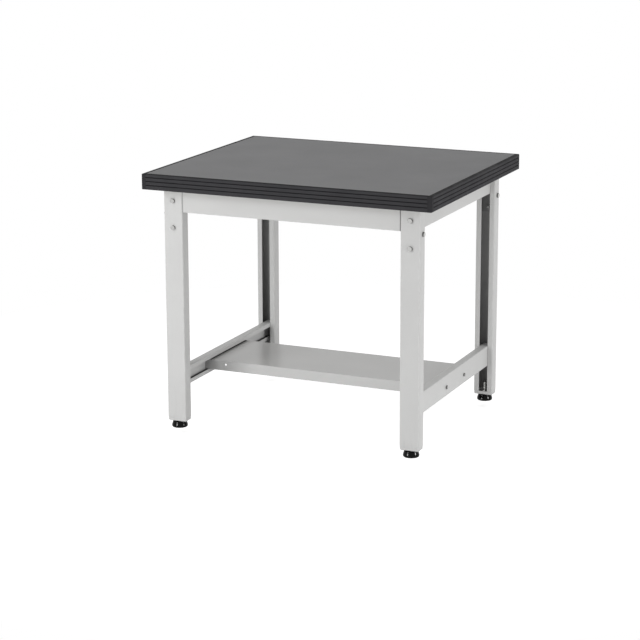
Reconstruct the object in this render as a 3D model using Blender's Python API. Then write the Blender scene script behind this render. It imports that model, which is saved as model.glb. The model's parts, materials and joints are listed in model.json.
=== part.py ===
"""Chemical-resistant work table: a laminated top with a ribbed edge moulding on a bolted frame of
folded steel channels, with a half-depth shelf and four screw-out feet.

Metres, +Z up, +X to the right, +Y to the back. The origin is on the floor below the top's middle.
"""
import math

import bmesh
import bpy
from mathutils import Matrix, Vector

# Overall size
TOP_WIDTH = 0.900
TOP_DEPTH = 0.750
TABLE_HEIGHT = 0.770

# Gaps between pieces
SEAT_GAP = 0.0003
HOLE_CLEAR = 0.0003
SLOT_CLEAR = 0.0005

# Worktop: wearing sheet, board, backing sheet
TOP_THICK = 0.046
SHEET_THICK = 0.002
BACKER_THICK = 0.001

# Edge moulding, pressed into a kerf round the board, and its corner caps
EDGE_BODY = 0.0115
EDGE_ROUND = 0.0022
RIB_COUNT = 4
RIB_CROWN = 0.0006
GROOVE_WIDTH = 0.0024
GROOVE_DEPTH = 0.0018
GROOVE_RISE = 0.0015
TONGUE_LENGTH = 0.012
TONGUE_THICK = 0.004
CAP_LAP = 0.002
CAP_ROUND = 0.004

# Legs: lipped channels with the slot facing the middle of the table
LEG_WIDTH = 0.060
LEG_DEPTH = 0.037
LEG_SLOT = 0.027
LEG_WALL = 0.002
LEG_BEND = 0.004
LEG_INSET_X = 0.049
LEG_INSET_Y = 0.043

# Welded shoe that closes the foot of a leg
SHOE_HEIGHT = 0.010
SHOE_WALL = 0.004
SHOE_FLOOR = 0.004
SHOE_CORNER = 0.006
SHOE_ROUND = 0.004

# Screw-out feet
PAD_HEIGHT = 0.018
PAD_RADIUS = 0.0240
PAD_TOP_RADIUS = 0.0205
PAD_BASE_RADIUS = 0.0215
PAD_BELLY = 0.0050
PAD_FLOOR = 0.006
PAD_GAP = 0.002
STEM_RADIUS = 0.006
STEM_LENGTH = 0.050
STEM_CHAMFER = 0.001
FOOT_NUT_FLATS = 0.019
FOOT_NUT_HEIGHT = 0.007

# Aprons under the top, front and back as trays, left and right as channels
APRON_HEIGHT = 0.068
APRON_FLANGE = 0.024
APRON_WALL = 0.0016
APRON_BEND = 0.0025
APRON_SETBACK = 0.001

# Bolts, weld nuts and the brackets inside the leg heads
BOLT_RADIUS = 0.004
BOLT_FLATS = 0.013
BOLT_HEAD = 0.0053
HEAD_CHAMFER = 0.001
HEAD_BEVEL = 0.0005
BOLT_END = 0.0015
NUT_HEIGHT = 0.0065
BOLT_DROP = 0.035
BOLT_PITCH = 0.080
BRACKET_WALL = 0.003
BRACKET_BEND = 0.005
BRACKET_MARGIN = 0.015

# Lower side rails and the shelf hung between them
RAIL_TOP = 0.177
RAIL_WALL = 0.002
RAIL_BEND = 0.0035
RAIL_LIP = 0.013
HEM_WIDTH = 0.012
HEM_LIP = 0.0135
SHELF_DEPTH = 0.250
SHELF_SETBACK = 0.004
SHELF_HEIGHT = 0.031
SHELF_WALL = 0.0015
SHELF_BEND = 0.002
SHELF_LOW_GAP = 0.002
SHELF_HIGH_GAP = 0.005
SHELF_BOLT_PITCH = 0.150
SHELF_BOLT_RISE = 0.0125
SHELF_BOLT_SETBACK = 0.008
SHELF_BOLT_RADIUS = 0.003
SHELF_BOLT_FLATS = 0.010
SHELF_BOLT_HEAD = 0.004
SHELF_NUT_HEIGHT = 0.005
SHELF_HOLE_RADIUS = 0.003
SHELF_HOLE_INSET = 0.070
SHELF_HOLE_DROP = 0.012

# Facets, and the overruns of cuts and welds
BEND_STEPS = 3
HOLE_STEPS = 16
ROUND_STEPS = 28
HEX_SIDES = 6
HEX_POINTS = 2 * HEX_SIDES
SHARP_ANGLE = math.radians(40)
SAME_POINT = 1e-6
CUT_OVERRUN = 0.004
WELD_SINK = 0.0008

# Bolt sizes: shank radius, flats and height of the head, height of the nut
LEG_BOLT = (BOLT_RADIUS, BOLT_FLATS, BOLT_HEAD, NUT_HEIGHT)
SHELF_BOLT = (SHELF_BOLT_RADIUS, SHELF_BOLT_FLATS, SHELF_BOLT_HEAD, SHELF_NUT_HEIGHT)

# Levels, from the worktop down
SHEET_BOTTOM = TABLE_HEIGHT - SHEET_THICK
CORE_TOP = SHEET_BOTTOM - SEAT_GAP
TOP_BOTTOM = TABLE_HEIGHT - TOP_THICK
CORE_BOTTOM = TOP_BOTTOM + BACKER_THICK + SEAT_GAP
FRAME_TOP = TOP_BOTTOM - SEAT_GAP
SHOE_BOTTOM = PAD_HEIGHT + PAD_GAP
LEG_BOTTOM = SHOE_BOTTOM + SHOE_HEIGHT + SEAT_GAP
BOLT_UPPER = FRAME_TOP - BOLT_DROP
BOLT_LOWER = BOLT_UPPER - BOLT_PITCH
BOLT_SIDE = (BOLT_UPPER + BOLT_LOWER) / 2
RAIL_HEIGHT = RAIL_LIP + SHELF_HIGH_GAP + SHELF_HEIGHT + SHELF_LOW_GAP + HEM_LIP
SHELF_BOTTOM = RAIL_TOP - RAIL_HEIGHT + HEM_LIP + SHELF_LOW_GAP
SHELF_TOP = SHELF_BOTTOM + SHELF_HEIGHT
SHELF_BOLT_LEVEL = SHELF_BOTTOM + SHELF_BOLT_RISE

# Places in plan
CAP_ARM = EDGE_BODY + CAP_LAP
BOARD_X = TOP_WIDTH / 2 - EDGE_BODY
BOARD_Y = TOP_DEPTH / 2 - EDGE_BODY
LEG_X = TOP_WIDTH / 2 - LEG_INSET_X - LEG_WIDTH / 2
LEG_Y = TOP_DEPTH / 2 - LEG_INSET_Y - LEG_DEPTH / 2
RAIL_FACE = LEG_X + LEG_SLOT / 2 - SLOT_CLEAR
RAIL_WIDTH = LEG_SLOT - 2 * SLOT_CLEAR
RAIL_END = LEG_Y + LEG_DEPTH / 2 - LEG_WALL - SEAT_GAP
SIDE_APRON_END = RAIL_END - BRACKET_WALL - SEAT_GAP
FRONT_APRON_END = LEG_X - LEG_WIDTH / 2 - SEAT_GAP
SHELF_END = RAIL_FACE - RAIL_WALL - SEAT_GAP

# The four corners: name, side of X, side of Y
CORNERS = (
    ("front_left", -1, -1),
    ("front_right", 1, -1),
    ("rear_left", -1, 1),
    ("rear_right", 1, 1),
)


def clear_scene():
    """Empty the scene before the table is modelled."""
    for old in list(bpy.data.objects):
        bpy.data.objects.remove(old, do_unlink=True)


def material(name, colour, roughness, metallic=0.0):
    """One Principled material."""
    made = bpy.data.materials.new(name)
    made.use_nodes = True
    shader = made.node_tree.nodes["Principled BSDF"]
    shader.inputs["Base Color"].default_value = (*colour, 1.0)
    shader.inputs["Roughness"].default_value = roughness
    shader.inputs["Metallic"].default_value = metallic
    return made


def add_object(name, mesh, parent=None, place=(0, 0, 0), turn=(0, 0, 0)):
    """Link a mesh, or an empty where mesh is None, at its place."""
    made = bpy.data.objects.new(name, mesh)
    bpy.context.scene.collection.objects.link(made)
    made.parent = parent
    made.location = place
    made.rotation_euler = turn
    return made


def to_mesh(name, bm, finish=None, smooth=False):
    """Close off a bmesh as a mesh with outward faces and one material."""
    bmesh.ops.recalc_face_normals(bm, faces=bm.faces)
    mesh = bpy.data.meshes.new(name)
    bm.to_mesh(mesh)
    bm.free()
    if finish is not None:
        mesh.materials.append(finish)
    if smooth:
        mesh.shade_smooth()
        mesh.set_sharp_from_angle(angle=SHARP_ANGLE)
    return mesh


def arc(centre, radius, start, end, steps=BEND_STEPS):
    """Points of a circular arc, angles in degrees."""
    angles = [math.radians(start + (end - start) * i / steps) for i in range(steps + 1)]
    return [Vector((centre[0] + radius * math.cos(a), centre[1] + radius * math.sin(a))) for a in angles]


def rounded_rectangle(width, depth, radius):
    """Outline of a rectangle about the origin with round corners."""
    x = width / 2 - radius
    y = depth / 2 - radius
    outline = []
    for quarter, (sx, sy) in enumerate(((1, 1), (-1, 1), (-1, -1), (1, -1))):
        outline += arc((sx * x, sy * y), radius, 90 * quarter, 90 * quarter + 90)
    return outline


def folded_section(path, wall, bend):
    """Outline of sheet folded along a path of left-hand right angles, with the path as its outer skin."""
    corners = [Vector(p) for p in path]
    runs = [(b - a).normalized() for a, b in zip(corners, corners[1:])]
    inward = [Vector((-run.y, run.x)) for run in runs]
    outer = [corners[0]]
    inner = [corners[0] + inward[0] * wall]
    for corner, run, into, onward in zip(corners[1:-1], runs, inward, runs[1:]):
        centre = corner + (onward - run) * bend
        for i in range(BEND_STEPS + 1):
            angle = math.pi / 2 * i / BEND_STEPS
            spoke = run * math.sin(angle) - into * math.cos(angle)
            outer.append(centre + spoke * bend)
            inner.append(centre + spoke * (bend - wall))
    outer.append(corners[-1])
    inner.append(corners[-1] + inward[-1] * wall)
    return outer + inner[::-1]


def extruded(outline, start, end, along="Z", mirror=(1, 1)):
    """A prism: a flat outline drawn along one axis. The outline lies in XY, XZ or YZ."""
    plane = {"Z": (0, 1, 2), "Y": (0, 2, 1), "X": (1, 2, 0)}[along]
    bm = bmesh.new()
    verts = []
    for u, v in outline:
        point = [0.0, 0.0, 0.0]
        point[plane[0]] = u * mirror[0]
        point[plane[1]] = v * mirror[1]
        point[plane[2]] = start
        verts.append(bm.verts.new(point))
    face = bm.faces.new(verts)
    raised = bmesh.ops.extrude_face_region(bm, geom=[face])["geom"]
    shift = Vector((0, 0, 0))
    shift[plane[2]] = end - start
    bmesh.ops.translate(bm, vec=shift, verts=[g for g in raised if isinstance(g, bmesh.types.BMVert)])
    return bm


def rings(loops):
    """A solid skinned over closed loops of equal length, capped at both ends."""
    bm = bmesh.new()
    rows = [[bm.verts.new(p) for p in loop] for loop in loops]
    count = len(rows[0])
    for low, high in zip(rows, rows[1:]):
        for i in range(count):
            j = (i + 1) % count
            bm.faces.new((low[i], low[j], high[j], high[i]))
    bm.faces.new(rows[0][::-1])
    bm.faces.new(rows[-1])
    return bm


def turned(profile, steps=ROUND_STEPS):
    """A body of revolution about Z from a profile of (radius, height) that starts and ends on the axis."""
    bm = bmesh.new()
    verts = [bm.verts.new((r, 0, z)) for r, z in profile]
    edges = [bm.edges.new(pair) for pair in zip(verts, verts[1:])]
    bmesh.ops.spin(bm, geom=verts + edges, axis=(0, 0, 1), cent=(0, 0, 0), angle=2 * math.pi,
                   steps=steps, use_merge=True, use_duplicate=False)
    bmesh.ops.remove_doubles(bm, verts=bm.verts, dist=SAME_POINT)
    return bm


def round_loop(radius, z):
    """A circle at one height, with as many points as a hexagon's loop."""
    angles = [2 * math.pi * i / HEX_POINTS for i in range(HEX_POINTS)]
    return [(radius * math.cos(a), radius * math.sin(a), z) for a in angles]


def hex_corner(flats):
    """Distance from the middle of a hexagon to its corners."""
    return flats / 2 / math.cos(math.pi / HEX_SIDES)


def hex_loop(flats, z):
    """A hexagon at one height, with its corners and the middles of its sides as points."""
    loop = []
    for i in range(HEX_POINTS):
        angle = 2 * math.pi * i / HEX_POINTS
        reach = flats / 2 if i % 2 else hex_corner(flats)
        loop.append((reach * math.cos(angle), reach * math.sin(angle), z))
    return loop


def tray(width, depth, height, wall, bend, folds):
    """A folded tray, open below: a box with rounded folds on the named sides, hollowed from underneath."""
    bm = bmesh.new()
    size = Matrix.Diagonal((width, depth, height, 1))
    bmesh.ops.create_cube(bm, size=1, matrix=Matrix.Translation((0, 0, -height / 2)) @ size)
    bm.faces.ensure_lookup_table()
    below = min(bm.faces, key=lambda f: f.calc_center_median().z)
    bmesh.ops.inset_region(bm, faces=[below], thickness=wall, use_even_offset=True)
    raised = bmesh.ops.extrude_face_region(bm, geom=[below])["geom"]
    lid = [g for g in raised if isinstance(g, bmesh.types.BMVert)]
    bmesh.ops.translate(bm, vec=(0, 0, height - wall), verts=lid)
    bmesh.ops.delete(bm, geom=[below], context="FACES_ONLY")
    chosen = [e for e in bm.edges if is_fold(e, depth, folds)]
    bmesh.ops.bevel(bm, geom=chosen, offset=bend, segments=BEND_STEPS, profile=0.5, affect="EDGES")
    return bm


def is_fold(edge, depth, folds):
    """Whether an edge is the outer top edge on one of the named sides of a tray."""
    ends = [v.co for v in edge.verts]
    on_top = all(abs(p.z) < SAME_POINT for p in ends)
    return on_top and any(all(abs(p.y - side * depth / 2) < SAME_POINT for p in ends) for side in folds)


def cylinders(spots, radius, reach, steps=HOLE_STEPS):
    """Separate cylinders, each given as (middle, direction)."""
    bm = bmesh.new()
    for middle, direction in spots:
        turn = Vector((0, 0, 1)).rotation_difference(Vector(direction)).to_matrix().to_4x4()
        bmesh.ops.create_cone(bm, cap_ends=True, segments=steps, radius1=radius, radius2=radius,
                              depth=reach, matrix=Matrix.Translation(middle) @ turn)
    return bm


def combine(target, operand_name, bm, operation):
    """Add a Boolean modifier whose hidden operand shares the target's parent and place."""
    operand = add_object(operand_name, to_mesh(operand_name, bm), target.parent, target.location,
                         target.rotation_euler)
    operand.hide_render = True
    operand.display_type = "WIRE"
    change = target.modifiers.new(operand_name, "BOOLEAN")
    change.operation = operation
    change.solver = "EXACT"
    change.object = operand


def weld_nuts(target, seats, drilled_wall, size):
    """Fuse hexagon weld nuts to a plate, then drill plate and nuts. A seat is (point on plate, direction)."""
    radius, flats, _, nut_height = size
    bm = bmesh.new()
    drill_spots = []
    for seat, direction in seats:
        way = Vector(direction)
        turn = Vector((0, 0, 1)).rotation_difference(way).to_matrix().to_4x4()
        middle = Vector(seat) + way * (nut_height - WELD_SINK) / 2
        bmesh.ops.create_cone(bm, cap_ends=True, segments=HEX_SIDES, radius1=hex_corner(flats),
                              radius2=hex_corner(flats), depth=nut_height + WELD_SINK,
                              matrix=Matrix.Translation(middle) @ turn)
        drill_spots.append((Vector(seat), direction))
    combine(target, target.name + "_nuts", bm, "UNION")
    reach = 2 * (nut_height + drilled_wall + CUT_OVERRUN)
    drill = cylinders(drill_spots, radius + HOLE_CLEAR, reach)
    combine(target, target.name + "_drill", drill, "DIFFERENCE")


def bolt_mesh(name, grip, finish, size):
    """A hexagon bolt along Z with the underside of its head at the origin."""
    radius, flats, head, nut_height = size
    length = grip + nut_height + BOLT_END
    crown = flats / 2 - HEAD_BEVEL
    loops = [round_loop(radius, -length), round_loop(radius, 0), hex_loop(flats, 0),
             hex_loop(flats, head - HEAD_CHAMFER), round_loop(crown, head)]
    return to_mesh(name, rings(loops), finish)


def build_top(finishes):
    """Backing sheet, kerfed board and wearing sheet, one above the other."""
    for name, low, high, finish in (
            ("top_sheet", SHEET_BOTTOM, TABLE_HEIGHT, "sheet"),
            ("top_backer", TOP_BOTTOM, TOP_BOTTOM + BACKER_THICK, "backer")):
        plan = [(-BOARD_X, -BOARD_Y), (BOARD_X, -BOARD_Y), (BOARD_X, BOARD_Y), (-BOARD_X, BOARD_Y)]
        add_object(name, to_mesh(name, extruded(plan, 0, high - low), finishes[finish]), place=(0, 0, low))
    middle = (CORE_TOP + CORE_BOTTOM) / 2
    half_kerf = TONGUE_THICK / 2 + SEAT_GAP
    kerf = TONGUE_LENGTH + SEAT_GAP
    loops = []
    for level, inset in ((CORE_BOTTOM, 0), (middle - half_kerf, 0), (middle - half_kerf, kerf),
                         (middle + half_kerf, kerf), (middle + half_kerf, 0), (CORE_TOP, 0)):
        x = BOARD_X - inset
        y = BOARD_Y - inset
        loops.append([(-x, -y, level), (x, -y, level), (x, y, level), (-x, y, level)])
    add_object("top_core", to_mesh("top_core", rings(loops), finishes["board"]))


def edge_section():
    """Section of the moulding, u outward from the board and v up: round shoulders, crowned ribs parted
    by square grooves a little above even spacing, and a flat back."""
    pitch = TOP_THICK / RIB_COUNT
    half_groove = GROOVE_WIDTH / 2
    face = arc((-EDGE_ROUND, EDGE_ROUND), EDGE_ROUND, -90, 0)
    for rib in range(RIB_COUNT):
        low = rib * pitch + GROOVE_RISE + half_groove
        high = (rib + 1) * pitch + GROOVE_RISE - half_groove
        if rib > 0:
            face += [Vector((-GROOVE_DEPTH, low)), Vector((-RIB_CROWN, low))]
            face.append(Vector((0, low + RIB_CROWN)))
        if rib < RIB_COUNT - 1:
            face.append(Vector((0, high - RIB_CROWN)))
            face += [Vector((-RIB_CROWN, high)), Vector((-GROOVE_DEPTH, high))]
    face += arc((-EDGE_ROUND, TOP_THICK - EDGE_ROUND), EDGE_ROUND, 0, 90)
    back = -EDGE_BODY + SEAT_GAP
    return face + [Vector((back, TOP_THICK)), Vector((back, 0))]


def tongue_section():
    """Section of the moulding's tongue, from its tip in the kerf to its root inside the moulding."""
    tip = -EDGE_BODY - TONGUE_LENGTH
    root = -(EDGE_BODY + GROOVE_DEPTH) / 2
    middle = (CORE_TOP + CORE_BOTTOM) / 2 - TOP_BOTTOM
    low = middle - TONGUE_THICK / 2
    high = middle + TONGUE_THICK / 2
    return [(tip, low), (root, low), (root, high), (tip, high)]


def corner_cap(sx, sy):
    """A plain cap: a section with the moulding's round shoulders, swept along one arm, round the corner
    and along the other arm, with its back against the corner of the board."""
    shoulder = min(EDGE_ROUND, CAP_ROUND)
    back = -EDGE_BODY + SEAT_GAP
    face = arc((-shoulder, shoulder), shoulder, -90, 0)
    face += arc((-shoulder, TOP_THICK - shoulder), shoulder, 0, 90)
    bend = arc((0, 0), 1, 0, 90)
    stations = [((-CAP_ROUND, -CAP_ARM), bend[0], (back, -CAP_ARM))]
    stations += [((-CAP_ROUND, -CAP_ROUND), way, (back, back)) for way in bend]
    stations += [((-CAP_ARM, -CAP_ROUND), bend[-1], (-CAP_ARM, back))]
    loops = []
    for pivot, way, rear in stations:
        skin = [(Vector(pivot) + way * (CAP_ROUND + depth), z) for depth, z in face]
        section = [(rear, 0)] + skin + [(rear, TOP_THICK)]
        loops.append([(sx * point[0], sy * point[1], z) for point, z in section])
    bm = rings(loops)
    bmesh.ops.remove_doubles(bm, verts=bm.verts, dist=SAME_POINT)
    return bm


def build_edges(finishes):
    """Four lengths of moulding, whose tongues stop short of each other at the board's corners, and the
    four plain caps that cover their ends."""
    section = edge_section()
    tongue = tongue_section()
    tongue_trim = EDGE_BODY + TONGUE_LENGTH + SEAT_GAP - CAP_ARM
    half_x = TOP_WIDTH / 2 - CAP_ARM - SEAT_GAP
    half_y = TOP_DEPTH / 2 - CAP_ARM - SEAT_GAP
    for name, along, reach, side, place in (
            ("edge_front", "X", half_x, -1, (0, -TOP_DEPTH / 2, TOP_BOTTOM)),
            ("edge_rear", "X", half_x, 1, (0, TOP_DEPTH / 2, TOP_BOTTOM)),
            ("edge_left", "Y", half_y, -1, (-TOP_WIDTH / 2, 0, TOP_BOTTOM)),
            ("edge_right", "Y", half_y, 1, (TOP_WIDTH / 2, 0, TOP_BOTTOM))):
        bm = extruded(section, -reach, reach, along, mirror=(side, 1))
        edge = add_object(name, to_mesh(name, bm, finishes["edging"]), place=place)
        short = reach - tongue_trim
        combine(edge, name + "_tongue", extruded(tongue, -short, short, along, mirror=(side, 1)), "UNION")
    for corner, sx, sy in CORNERS:
        name = "corner_cap_" + corner
        add_object(name, to_mesh(name, corner_cap(sx, sy), finishes["edging"], smooth=True),
                   place=(sx * TOP_WIDTH / 2, sy * TOP_DEPTH / 2, TOP_BOTTOM))


def build_leg(corner, hand, post, finishes):
    """The channel of one leg, drilled for its three bolts."""
    half_w = LEG_WIDTH / 2
    half_d = LEG_DEPTH / 2
    path = [(-LEG_SLOT / 2, half_d), (-half_w, half_d), (-half_w, -half_d), (half_w, -half_d),
            (half_w, half_d), (LEG_SLOT / 2, half_d)]
    name = "leg_" + corner
    bm = extruded(folded_section(path, LEG_WALL, LEG_BEND), LEG_BOTTOM, FRAME_TOP)
    leg = add_object(name, to_mesh(name, bm, finishes["paint"], smooth=True), post)
    spots = [((0, -half_d, BOLT_UPPER), (0, -1, 0)), ((0, -half_d, BOLT_LOWER), (0, -1, 0)),
             ((hand * half_w, 0, BOLT_SIDE), (hand, 0, 0))]
    drill = cylinders(spots, BOLT_RADIUS + HOLE_CLEAR, 2 * (LEG_WALL + CUT_OVERRUN))
    combine(leg, name + "_drill", drill, "DIFFERENCE")


def build_shoe(corner, post, finishes):
    """The shoe welded under a leg, an open tray with a round lower edge and a hole for the foot's stem."""
    name = "leg_shoe_" + corner
    bm = extruded(rounded_rectangle(LEG_WIDTH, LEG_DEPTH, SHOE_CORNER), 0, SHOE_HEIGHT)
    bm.faces.ensure_lookup_table()
    above = max(bm.faces, key=lambda f: f.calc_center_median().z)
    bmesh.ops.inset_region(bm, faces=[above], thickness=SHOE_WALL, use_even_offset=True)
    sunk = bmesh.ops.extrude_face_region(bm, geom=[above])["geom"]
    floor = [g for g in sunk if isinstance(g, bmesh.types.BMVert)]
    bmesh.ops.translate(bm, vec=(0, 0, SHOE_FLOOR - SHOE_HEIGHT), verts=floor)
    bmesh.ops.delete(bm, geom=[above], context="FACES_ONLY")
    rim = [e for e in bm.edges if all(abs(v.co.z) < SAME_POINT for v in e.verts)]
    bmesh.ops.bevel(bm, geom=rim, offset=SHOE_ROUND, segments=BEND_STEPS, profile=0.5, affect="EDGES")
    shoe = add_object(name, to_mesh(name, bm, finishes["paint"], smooth=True), post, (0, 0, SHOE_BOTTOM))
    hole = cylinders([((0, 0, 0), (0, 0, 1))], STEM_RADIUS + HOLE_CLEAR, 2 * (SHOE_FLOOR + CUT_OVERRUN),
                     ROUND_STEPS)
    combine(shoe, name + "_drill", hole, "DIFFERENCE")


def build_bracket(corner, hand, post, finishes):
    """The angle inside a leg's head, with the weld nuts that take the leg's three bolts."""
    half_w = LEG_WIDTH / 2 - LEG_WALL - SEAT_GAP
    half_d = LEG_DEPTH / 2 - LEG_WALL - SEAT_GAP
    relief = LEG_BEND - LEG_WALL
    path = [(relief - half_w, -half_d), (half_w, -half_d), (half_w, half_d - relief)]
    name = "leg_bracket_" + corner
    bottom = BOLT_LOWER - BRACKET_MARGIN
    bm = extruded(folded_section(path, BRACKET_WALL, BRACKET_BEND), bottom, FRAME_TOP, mirror=(hand, 1))
    bracket = add_object(name, to_mesh(name, bm, finishes["paint"]), post)
    face_y = -half_d + BRACKET_WALL
    face_x = hand * (half_w - BRACKET_WALL)
    weld_nuts(bracket, [((0, face_y, BOLT_UPPER), (0, 1, 0)), ((0, face_y, BOLT_LOWER), (0, 1, 0)),
                        ((face_x, 0, BOLT_SIDE), (-hand, 0, 0))], BRACKET_WALL, LEG_BOLT)


def build_leg_bolts(corner, hand, post, mesh):
    """The two bolts through a leg's outer face and the one through its outer side."""
    front = -LEG_DEPTH / 2 - SEAT_GAP
    side = hand * (LEG_WIDTH / 2 + SEAT_GAP)
    facing = (math.pi / 2, 0, 0)
    add_object("leg_bolt_upper_" + corner, mesh, post, (0, front, BOLT_UPPER), facing)
    add_object("leg_bolt_lower_" + corner, mesh, post, (0, front, BOLT_LOWER), facing)
    add_object("leg_bolt_side_" + corner, mesh, post, (side, 0, BOLT_SIDE), (0, hand * math.pi / 2, 0))


def pad_profile():
    """Half section of a foot pad: a belly over a rounded base, and the socket for the stem."""
    socket = STEM_RADIUS + HOLE_CLEAR
    low = [(PAD_BASE_RADIUS + (PAD_RADIUS - PAD_BASE_RADIUS) * math.sin(a), PAD_BELLY * (1 - math.cos(a)))
           for a in (math.pi / 2 * i / BEND_STEPS for i in range(BEND_STEPS + 1))]
    shoulder = PAD_HEIGHT - (PAD_RADIUS - PAD_TOP_RADIUS) / 2
    high = [(PAD_TOP_RADIUS, shoulder), (PAD_TOP_RADIUS - (PAD_HEIGHT - shoulder), PAD_HEIGHT)]
    return [(0, 0)] + low + high + [(socket, PAD_HEIGHT), (socket, PAD_FLOOR), (0, PAD_FLOOR)]


def build_foot(corner, post, finishes):
    """Pad, stem and nut of one foot, all on the axis on which the foot screws out."""
    axis = add_object("foot_axis_" + corner, None, post)
    pad = "foot_pad_" + corner
    add_object(pad, to_mesh(pad, turned(pad_profile()), finishes["pad"], smooth=True), axis)
    tip = STEM_RADIUS - STEM_CHAMFER
    bar = [(0, 0), (STEM_RADIUS, 0), (STEM_RADIUS, STEM_LENGTH - STEM_CHAMFER), (tip, STEM_LENGTH),
           (0, STEM_LENGTH)]
    stem = "foot_stem_" + corner
    add_object(stem, to_mesh(stem, turned(bar), finishes["zinc"], smooth=True), axis,
               (0, 0, PAD_FLOOR + SEAT_GAP))
    nut = "foot_nut_" + corner
    body = add_object(nut, to_mesh(nut, rings([hex_loop(FOOT_NUT_FLATS, 0),
                                               hex_loop(FOOT_NUT_FLATS, FOOT_NUT_HEIGHT)]),
                                   finishes["zinc"]),
                      post, (0, 0, SHOE_BOTTOM + SHOE_FLOOR + SEAT_GAP))
    bore = cylinders([((0, 0, FOOT_NUT_HEIGHT / 2), (0, 0, 1))], STEM_RADIUS + HOLE_CLEAR,
                     FOOT_NUT_HEIGHT + 2 * CUT_OVERRUN, ROUND_STEPS)
    combine(body, nut + "_drill", bore, "DIFFERENCE")


def build_corners(finishes):
    """Everything that repeats at the four corners, hung from a post that faces outward."""
    grip = SEAT_GAP + LEG_WALL + SEAT_GAP + BRACKET_WALL
    bolt = bolt_mesh("leg_bolt", grip, finishes["zinc"], LEG_BOLT)
    for corner, sx, sy in CORNERS:
        turn = 0 if sy < 0 else math.pi
        hand = sx if sy < 0 else -sx
        post = add_object("post_" + corner, None, None, (sx * LEG_X, sy * LEG_Y, 0), (0, 0, turn))
        build_leg(corner, hand, post, finishes)
        build_shoe(corner, post, finishes)
        build_bracket(corner, hand, post, finishes)
        build_leg_bolts(corner, hand, post, bolt)
        build_foot(corner, post, finishes)


def build_aprons(finishes):
    """Front and back aprons as trays between the legs, side aprons as channels into the leg slots."""
    face = LEG_Y + LEG_DEPTH / 2 - APRON_SETBACK
    for name, sy in (("apron_front", -1), ("apron_rear", 1)):
        bm = tray(2 * FRONT_APRON_END, APRON_HEIGHT, APRON_FLANGE, APRON_WALL, APRON_BEND, folds=(-1, 1))
        add_object(name, to_mesh(name, bm, finishes["paint"], smooth=True),
                   place=(0, sy * face, FRAME_TOP - APRON_HEIGHT / 2), turn=(-sy * math.pi / 2, 0, 0))
    low = -APRON_HEIGHT
    path = [(-RAIL_WIDTH, low), (0, low), (0, 0), (-RAIL_WIDTH, 0)]
    section = folded_section(path, APRON_WALL, APRON_BEND)
    for name, sx in (("apron_left", -1), ("apron_right", 1)):
        bm = extruded(section, -SIDE_APRON_END, SIDE_APRON_END, "Y", mirror=(sx, 1))
        add_object(name, to_mesh(name, bm, finishes["paint"], smooth=True),
                   place=(sx * RAIL_FACE, 0, FRAME_TOP))


def build_rails(finishes):
    """Lower side rails: deep lipped channels, wide above and hemmed below, drilled for the shelf bolts."""
    low = -RAIL_HEIGHT
    path = [(-HEM_WIDTH, low + HEM_LIP), (-HEM_WIDTH, low), (0, low), (0, 0), (-RAIL_WIDTH, 0),
            (-RAIL_WIDTH, -RAIL_LIP)]
    section = folded_section(path, RAIL_WALL, RAIL_BEND)
    for side, sx in (("left", -1), ("right", 1)):
        name = "rail_" + side
        bm = extruded(section, -RAIL_END, RAIL_END, "Y", mirror=(sx, 1))
        rail = add_object(name, to_mesh(name, bm, finishes["paint"], smooth=True),
                          place=(sx * RAIL_FACE, 0, RAIL_TOP))
        level = SHELF_BOLT_LEVEL - RAIL_TOP
        spots = [((0, SHELF_BOLT_SETBACK + sy * SHELF_BOLT_PITCH / 2, level), (1, 0, 0)) for sy in (-1, 1)]
        drill = cylinders(spots, SHELF_BOLT_RADIUS + HOLE_CLEAR, 2 * (RAIL_WALL + CUT_OVERRUN))
        combine(rail, name + "_drill", drill, "DIFFERENCE")


def build_shelf(finishes):
    """The shelf: a shallow tray, open below, whose ends carry weld nuts inside the rails."""
    bm = tray(2 * SHELF_END, SHELF_DEPTH, SHELF_HEIGHT, SHELF_WALL, SHELF_BEND, folds=(-1, 1))
    shelf = add_object("shelf", to_mesh("shelf", bm, finishes["paint"], smooth=True),
                       place=(0, SHELF_SETBACK, SHELF_TOP))
    level = SHELF_BOLT_LEVEL - SHELF_TOP
    inside = SHELF_END - SHELF_WALL
    behind = SHELF_BOLT_SETBACK - SHELF_SETBACK
    weld_nuts(shelf, [((sx * inside, behind + sy * SHELF_BOLT_PITCH / 2, level), (-sx, 0, 0))
                      for sx in (-1, 1) for sy in (-1, 1)], SHELF_WALL, SHELF_BOLT)
    spots = [((sx * (SHELF_END - SHELF_HOLE_INSET), -SHELF_DEPTH / 2, -SHELF_HOLE_DROP), (0, 1, 0))
             for sx in (-1, 1)]
    holes = cylinders(spots, SHELF_HOLE_RADIUS, 2 * (SHELF_WALL + CUT_OVERRUN))
    combine(shelf, "shelf_flange_holes", holes, "DIFFERENCE")
    bolt = bolt_mesh("shelf_bolt", SEAT_GAP + RAIL_WALL + SEAT_GAP + SHELF_WALL, finishes["zinc"], SHELF_BOLT)
    for side, sx in (("left", -1), ("right", 1)):
        for end, sy in (("front", -1), ("rear", 1)):
            place = (sx * (RAIL_FACE + SEAT_GAP), SHELF_BOLT_SETBACK + sy * SHELF_BOLT_PITCH / 2, SHELF_BOLT_LEVEL)
            add_object("shelf_bolt_" + side + "_" + end, bolt, None, place, (0, sx * math.pi / 2, 0))


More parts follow.
